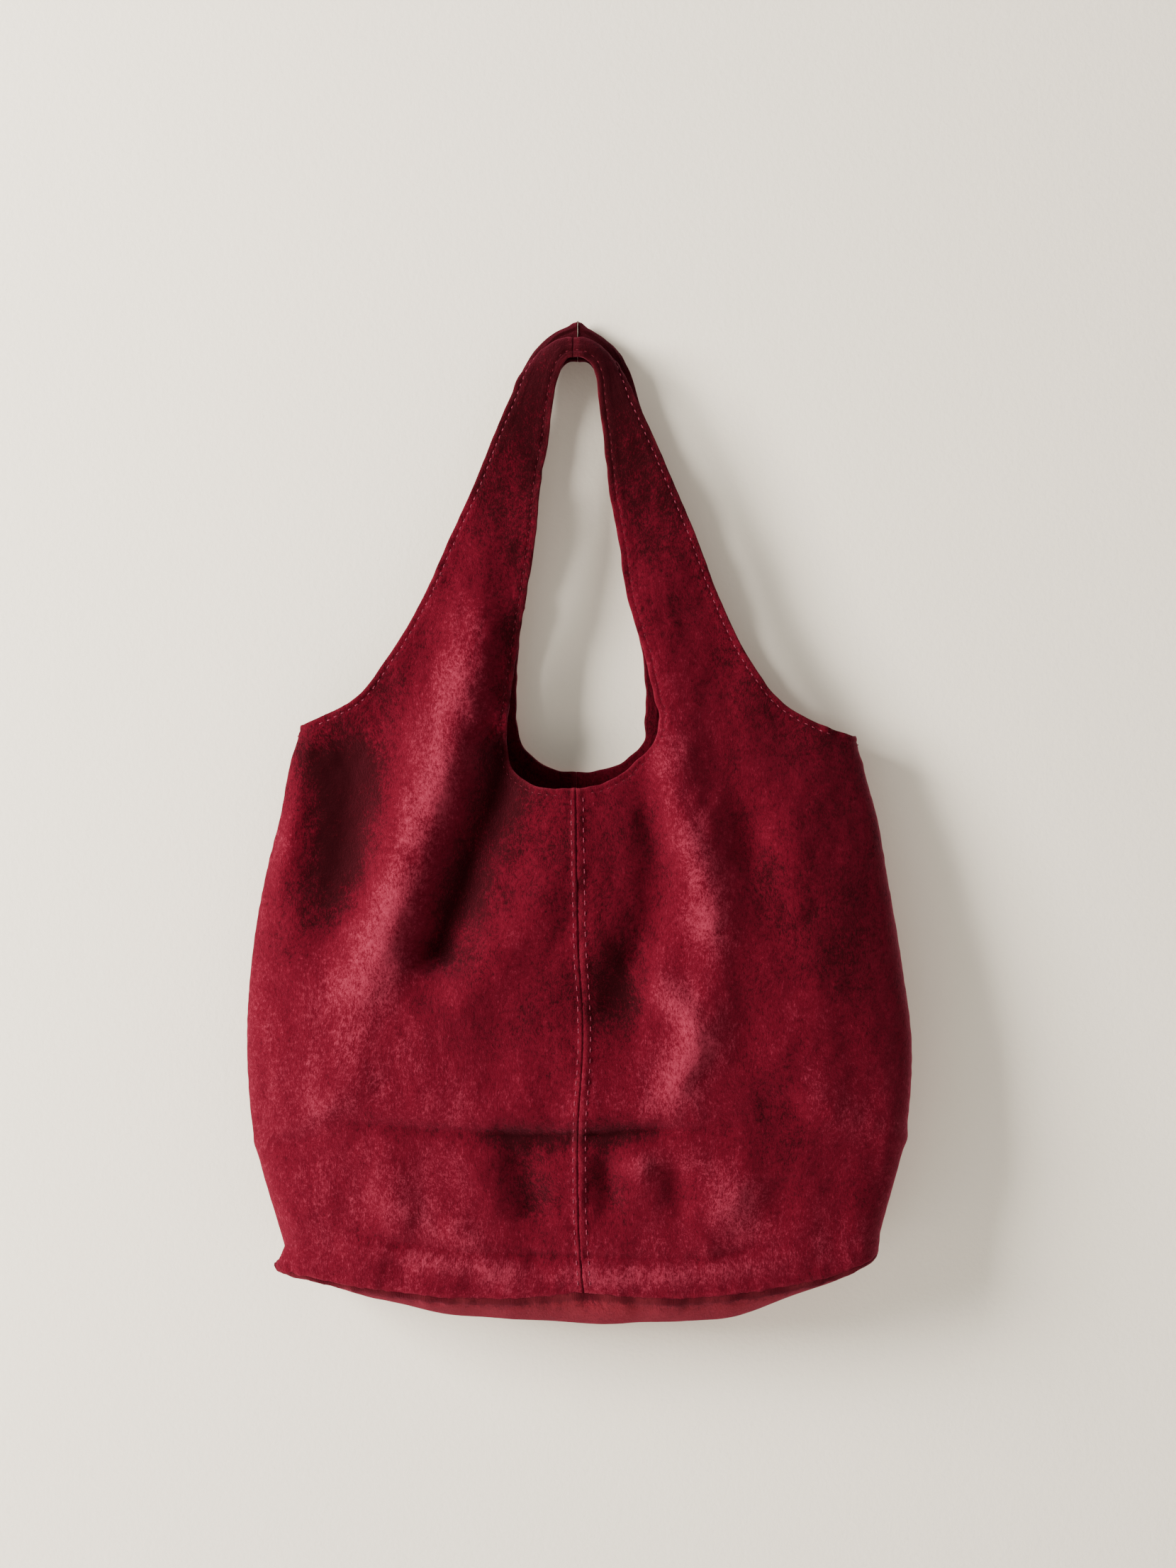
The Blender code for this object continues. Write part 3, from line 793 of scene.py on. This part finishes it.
def suede(name, deep, body, bright, rubbed):
    """Brushed suede in patches of strokes, clumps and fibres, paler on rubbed edges, with painted highlight
    and painted shade laid over its tone and painted shade on its inner surface.
    """
    made, tree, shader = new_material(name)
    place = swirled(tree, attribute(tree, "hide_place").outputs["Vector"], 0.02)
    patches = noise(tree, place, 19, 4)
    strokes = noise(tree, place, 60, 5, (1.5, 0.7, 1), 0.65)
    clumps = noise(tree, place, 330, 5, (1.2, 0.75, 1), 0.8)
    fibres = noise(tree, place, 800, 3, (1.5, 0.6, 1), 0.85)
    # Painted highlight and painted shade, read per vertex, lift or lower the tone
    nap = attribute(tree, "nap").outputs["Fac"]
    tone = summed(
        tree,
        (nap, 0.40, -1.0),
        (patches, 0.54, 0.5),
        (strokes, 0.54, 0.5),
        (clumps, 1.05, 0.5),
        (fibres, 1.1, 0.5),
    )
    scale = tree.nodes.new("ShaderNodeValToRGB")
    scale.color_ramp.interpolation = "EASE"
    scale.color_ramp.elements[0].position = 0.0
    scale.color_ramp.elements[0].color = (*deep, 1)
    scale.color_ramp.elements[1].position = 0.95
    scale.color_ramp.elements[1].color = (*bright, 1)
    scale.color_ramp.elements.new(0.42).color = (*body, 1)
    tree.links.new(tone, scale.inputs["Fac"])
    wear = attribute(tree, "wear").outputs["Fac"]
    colour = mixed(tree, wear, scale.outputs["Color"], rubbed)
    # Painted shade inside the bag: the inner surface is pulled a quarter of the way to the deep colour
    inside = attribute(tree, "inside").outputs["Fac"]
    colour = mixed(tree, scaled(tree, inside, 0.25), colour, deep)
    tree.links.new(colour, shader.inputs["Base Color"])
    rough = tree.nodes.new("ShaderNodeMapRange")
    rough.inputs["To Min"].default_value = 0.85
    rough.inputs["To Max"].default_value = 1.0
    tree.links.new(patches, rough.inputs["Value"])
    tree.links.new(rough.outputs["Result"], shader.inputs["Roughness"])
    shader.inputs["Specular IOR Level"].default_value = 0.04
    shader.inputs["Sheen Weight"].default_value = 0.22
    shader.inputs["Sheen Roughness"].default_value = 0.5
    shader.inputs["Sheen Tint"].default_value = (1.0, 0.12, 0.22, 1)
    fine = bumped(tree, fibres, 0.6, 0.8 * MM)
    tree.links.new(bumped(tree, clumps, 0.7, 1.8 * MM, fine), shader.inputs["Normal"])
    return made


def thread_material(name, dark, light, worn_colour):
    """Twisted sewing thread, its plies showing as slanted bands."""
    made, tree, shader = new_material(name)
    place = attribute(tree, "thread_place").outputs["Vector"]
    wave = tree.nodes.new("ShaderNodeTexWave")
    wave.wave_type = "BANDS"
    wave.bands_direction = "DIAGONAL"
    wave.inputs["Scale"].default_value = 320
    wave.inputs["Distortion"].default_value = 0.6
    tree.links.new(place, wave.inputs["Vector"])
    worn = ramp(tree, noise(tree, place, 60, 3), 0.35, 0.65)
    colour = mixed(tree, wave.outputs["Fac"], dark, light)
    colour = mixed(tree, scaled(tree, worn, 0.5), colour, worn_colour)
    tree.links.new(colour, shader.inputs["Base Color"])
    shader.inputs["Roughness"].default_value = 0.75
    shader.inputs["Specular IOR Level"].default_value = 0.12
    tree.links.new(bumped(tree, wave.outputs["Fac"], 0.5, 0.2 * MM), shader.inputs["Normal"])
    return made


# ---------------------------------------------------------------- building the bag

SUEDE = suede(
    "burgundy_suede",
    deep=(0.011, 0.0001, 0.0006),
    body=(0.074, 0.0015, 0.0068),
    bright=(0.222, 0.022, 0.042),
    rubbed=(0.15, 0.010, 0.020),
)
BASE_SUEDE = suede(
    "base_suede",
    deep=(0.03, 0.0012, 0.003),
    body=(0.12, 0.008, 0.013),
    bright=(0.24, 0.034, 0.044),
    rubbed=(0.19, 0.022, 0.030),
)
THREAD = thread_material(
    "rose_thread",
    dark=(0.09, 0.008, 0.016),
    light=(0.24, 0.035, 0.06),
    worn_colour=(0.13, 0.014, 0.028),
)
HEM_THREAD = thread_material(
    "burgundy_thread",
    dark=(0.045, 0.002, 0.006),
    light=(0.14, 0.012, 0.024),
    worn_colour=(0.08, 0.005, 0.011),
)


def hide_values(hide):
    """Per-vertex values for the material: place on the flat hide, wear, painted light, and the inside."""
    x, z = hide.middle[..., 0], hide.middle[..., 2]
    number = FACES.index(hide.face) * 2 + HANDS.index(hide.hand)
    place = np.stack([x, z, np.full_like(x, number * 0.7)], -1).reshape(-1, 3)
    wear = 0.25 * bell(hide.hemmed, 1.6 * MM) + 0.2 * bell(hide.sewn - 2 * MM, 1.5 * MM)
    wear = np.clip(wear * (0.8 + 0.4 * ripples(x, z, 20 * MM, 31)), 0, 1).ravel()
    return {
        "hide_place": np.concatenate([place, place]),
        "wear": np.concatenate([wear, wear * 0.5]),
        # Painted shade and painted highlight outside; on the inner surface painted shade, darker towards the
        # hook
        "nap": np.concatenate([hide.nap.ravel(), between(PAINTED_LIGHT_BY_HEIGHT, z / MM).ravel() - 0.15]),
        "inside": np.concatenate([np.zeros(x.size), np.ones(x.size)]),
    }


def ride_hide(piece):
    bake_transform(piece)


def add_hide(face, hand):
    """One skin that stands for a panel and its strap, and bends at the strap's foot."""
    hide = dress_hide(make_hide(face, hand))
    half = f"{face}_{hand}"
    piece = shell_mesh(hide.name, hide.top, hide.bottom, hide_values(hide))
    piece.data.materials.append(SUEDE)
    ride_hide(piece)
    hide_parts(f"{half}_panel", f"{half}_strap")
    return hide


def add_stitches(hide):
    """The rows of thread that show on a hide: along the centre seam, the neckline and the armhole."""
    half = f"{hide.face}_{hide.hand}"
    places = hide.places
    seed = 40 + 10 * FACES.index(hide.face) + 5 * HANDS.index(hide.hand)
    inset = CENTRE_INSET[hide.hand]
    seam_rows = np.flatnonzero((places > 0.12) & (places < SEAM_END - 0.04))
    points, normals = path_at(hide, hide.to_seam, inset, seam_rows, False)
    row = stitch_row(f"{half}_centre_stitches", points, normals, TOP_PITCH, 0.62, STITCH_RADIUS, seed)
    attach(row, BODY)
    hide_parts(f"{half}_centre_thread")
    neck_rows = np.flatnonzero(places > SEAM_END)
    points, normals = path_at(hide, hide.to_neck, NECKLINE_INSET, neck_rows[:-1], False)
    thin = STITCH_RADIUS * 0.75
    neck = stitch_row(f"{half}_neckline_stitches", points, normals, HEM_PITCH, 0.5, thin, seed + 1)
    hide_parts(f"{half}_neck_thread", f"{half}_strap_inner_thread")
    arm_rows = np.flatnonzero(between(PAIRED, places) > CORNER + 0.05)
    points, normals = path_at(hide, hide.to_arm, HEM_INSET, arm_rows[:-1], True)
    arm = stitch_row(f"{half}_armhole_stitches", points, normals, HEM_PITCH, 0.54, STITCH_RADIUS, seed + 2)
    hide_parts(f"{half}_armhole_thread", f"{half}_strap_outer_thread")
    for piece in (neck, arm):
        ride_hide(piece)
    for piece, used in ((row, THREAD), (neck, HEM_THREAD), (arm, THREAD)):
        piece.data.materials.append(used)


def bottom_seam(hides, face):
    """The bottom edge of one face from side seam to side seam, as evenly spaced points."""
    left, right = hides[face, "left"].middle[0][::-1], hides[face, "right"].middle[0]
    line = np.concatenate([left, right[1:]])
    length = walked(line)
    return read_line(np.linspace(0, length[-1], BASE_COLUMNS), length, line)


def add_base(hides):
    """The base: a hide sewn to the bottom edges all round, sagging between them."""
    front, back = bottom_seam(hides, "front"), bottom_seam(hides, "back")
    t = np.linspace(0, 1, BASE_ROWS)[:, None, None]
    t = 0.6 * t + 0.4 * (1 - np.cos(math.pi * t)) / 2
    middle = front * (1 - t) + back * t
    x, y = middle[..., 0], middle[..., 1]
    cross = 4 * t[..., 0] * (1 - t[..., 0])
    sag = middle[..., 2] - table(BASE_LINE, x)
    sag[:, [0, -1]] = 0
    middle[..., 2] -= cross**0.85 * sag
    middle[..., 2] += 0.5 * MM * ripples(x, y, 70 * MM, 51) * cross
    edge = np.minimum(distance_to(middle, front[::2]), distance_to(middle, back[::2]))
    up = np.zeros_like(middle)
    up[..., 2] = 1
    tuck = BASE_ROLL * (1 - edge_profile(edge, BASE_ROLL))
    normal = surface_normals(middle)
    normal *= -np.sign(normal[..., 2:3])
    pucker = 0.4 * MM * ripples(x, y, 10 * MM, 52) * bell(edge, 9 * MM)
    outer = middle + normal * (HIDE_HALF + pucker)[..., None] + up * (tuck - 0.4 * MM)[..., None]
    inner = middle + normal * (pucker - HIDE_HALF)[..., None] + up * (tuck - 0.4 * MM)[..., None]
    flat = np.stack([x, y, np.full_like(edge, 3.1)], -1).reshape(-1, 3)
    wear = np.clip(0.12 + 0.08 * ripples(x, y, 30 * MM, 53), 0, 1).ravel()
    # Painted shadow along the base's edge, under the overhang of the front and back, and the base a little
    # darker all over
    nap = (-0.1 - 0.5 * bell(edge, 7 * MM) - 1.3 * bell(edge, 2.6 * MM)).ravel()
    values = {
        "hide_place": np.concatenate([flat, flat]),
        "wear": np.concatenate([wear, wear * 0.5]),
        "nap": np.concatenate([nap, nap]),
        "inside": np.concatenate([np.zeros(edge.size), np.ones(edge.size)]),
    }
    piece = shell_mesh("base_hide", outer, inner, values)
    piece.data.materials.append(BASE_SUEDE)
    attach(piece, BODY)
    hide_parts("base_panel")


def carried_threads():
    """CAD threads that stay as they are, inside the seams and at the joins and corners."""
    for name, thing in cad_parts.items():
        if not thing.hide_render and ("thread" in name or "tack" in name):
            mesh = thing.data
            set_values(mesh, "thread_place", np.array([v.co for v in mesh.vertices]))
            mesh.materials.clear()
            mesh.materials.append(THREAD)


# ---------------------------------------------------------------- stage, light and camera


def plain_material(name, colour, roughness, one_sided=False):
    """Slightly uneven paint. A one-sided one is clear from behind, and doesn't hide the back of the bag."""
    made, tree, shader = new_material(name)
    shader.inputs["Roughness"].default_value = roughness
    shader.inputs["Specular IOR Level"].default_value = 0.2
    texture = tree.nodes.new("ShaderNodeTexCoord").outputs["Object"]
    shade = ramp(tree, noise(tree, texture, 1.6, 2), 0.3, 0.7)
    paint = mixed(tree, scaled(tree, shade, 0.4), colour, tuple(0.96 * c for c in colour))
    tree.links.new(paint, shader.inputs["Base Color"])
    tree.links.new(bumped(tree, noise(tree, texture, 260, 3), 0.25, 1 * MM), shader.inputs["Normal"])
    if one_sided:
        clear = tree.nodes.new("ShaderNodeBsdfTransparent")
        mix = tree.nodes.new("ShaderNodeMixShader")
        behind = tree.nodes.new("ShaderNodeNewGeometry").outputs["Backfacing"]
        tree.links.new(behind, mix.inputs["Fac"])
        tree.links.new(shader.outputs["BSDF"], mix.inputs[1])
        tree.links.new(clear.outputs["BSDF"], mix.inputs[2])
        tree.links.new(mix.outputs["Shader"], tree.nodes["Material Output"].inputs["Surface"])
    return made


def stage_plane(name, corners, material):
    mesh = bpy.data.meshes.new(name)
    mesh.from_pydata(corners, [], [(0, 1, 2, 3)])
    mesh.materials.append(material)
    made = add_object(name, mesh)
    return made


def add_stage():
    """A pale wall just behind the bag and a floor well under it."""
    wall_y = cad_high.y + 2 * MM
    floor_z = cad_low.z - 0.42
    wide, deep, high = 6.0, 6.0, 3.0
    wall = stage_plane(
        "backdrop_wall",
        [(-wide, wall_y, floor_z), (wide, wall_y, floor_z), (wide, wall_y, high), (-wide, wall_y, high)],
        plain_material("pale_wall", (0.90, 0.81, 0.67), 0.9, one_sided=True),
    )
    wall.visible_diffuse = False
    wall.visible_glossy = False
    wall.visible_shadow = False
    stage_plane(
        "floor",
        [(-wide, -deep, floor_z), (wide, -deep, floor_z), (wide, deep, floor_z), (-wide, deep, floor_z)],
        plain_material("pale_floor", (0.78, 0.77, 0.75), 0.8),
    )


def area_light(name, place, target, size, power, colour):
    light = bpy.data.lights.new(name, "AREA")
    light.shape = "RECTANGLE"
    light.size, light.size_y = size
    light.energy = power
    light.color = colour
    made = add_object(name, light)
    made.location = place
    made.rotation_euler = (Vector(target) - Vector(place)).to_track_quat("-Z", "Y").to_euler()


def add_light():
    """A large window on the left, a weak fill in front, a light for the back, and a room pale at eye level."""
    middle = (0, 0, -0.3)
    area_light("window", (-2.1, -1.35, 0.35), middle, (1.0, 1.2), 230, (1.0, 0.98, 0.95))
    area_light("room", (0.9, -2.4, 0.6), middle, (2.2, 2.2), 8, (1.0, 0.97, 0.93))
    area_light("rear", (2.0, 2.2, 0.5), middle, (1.6, 1.6), 85, (1.0, 0.98, 0.95))
    world = bpy.data.worlds.new("studio")
    bpy.context.scene.world = world
    world.use_nodes = True
    back = world.node_tree.nodes["Background"]
    tree = world.node_tree
    ways = tree.nodes.new("ShaderNodeSeparateXYZ")
    tree.links.new(tree.nodes.new("ShaderNodeTexCoord").outputs["Generated"], ways.inputs["Vector"])
    height = tree.nodes.new("ShaderNodeMath")
    height.operation = "ABSOLUTE"
    tree.links.new(ways.outputs["Z"], height.inputs[0])
    sky = mixed(tree, ramp(tree, height.outputs[0], 0.18, 0.45), (0.80, 0.79, 0.775), (0.19, 0.19, 0.185))
    tree.links.new(sky, back.inputs["Color"])
    back.inputs["Strength"].default_value = 1.0


def add_camera():
    camera = bpy.data.cameras.new("camera")
    camera.sensor_width = SENSOR
    camera.lens = SENSOR * CAMERA_DISTANCE / VIEW_HEIGHT
    made = add_object("camera", camera)
    made.location = (VIEW_CENTRE[0], -CAMERA_DISTANCE, VIEW_CENTRE[1])
    made.rotation_euler = (math.pi / 2, 0, 0)
    bpy.context.scene.camera = made


hides = {}
for face in FACES:
    for hand in HANDS:
        hides[face, hand] = add_hide(face, hand)
        add_stitches(hides[face, hand])
add_base(hides)
carried_threads()
add_stage()
add_light()
add_camera()
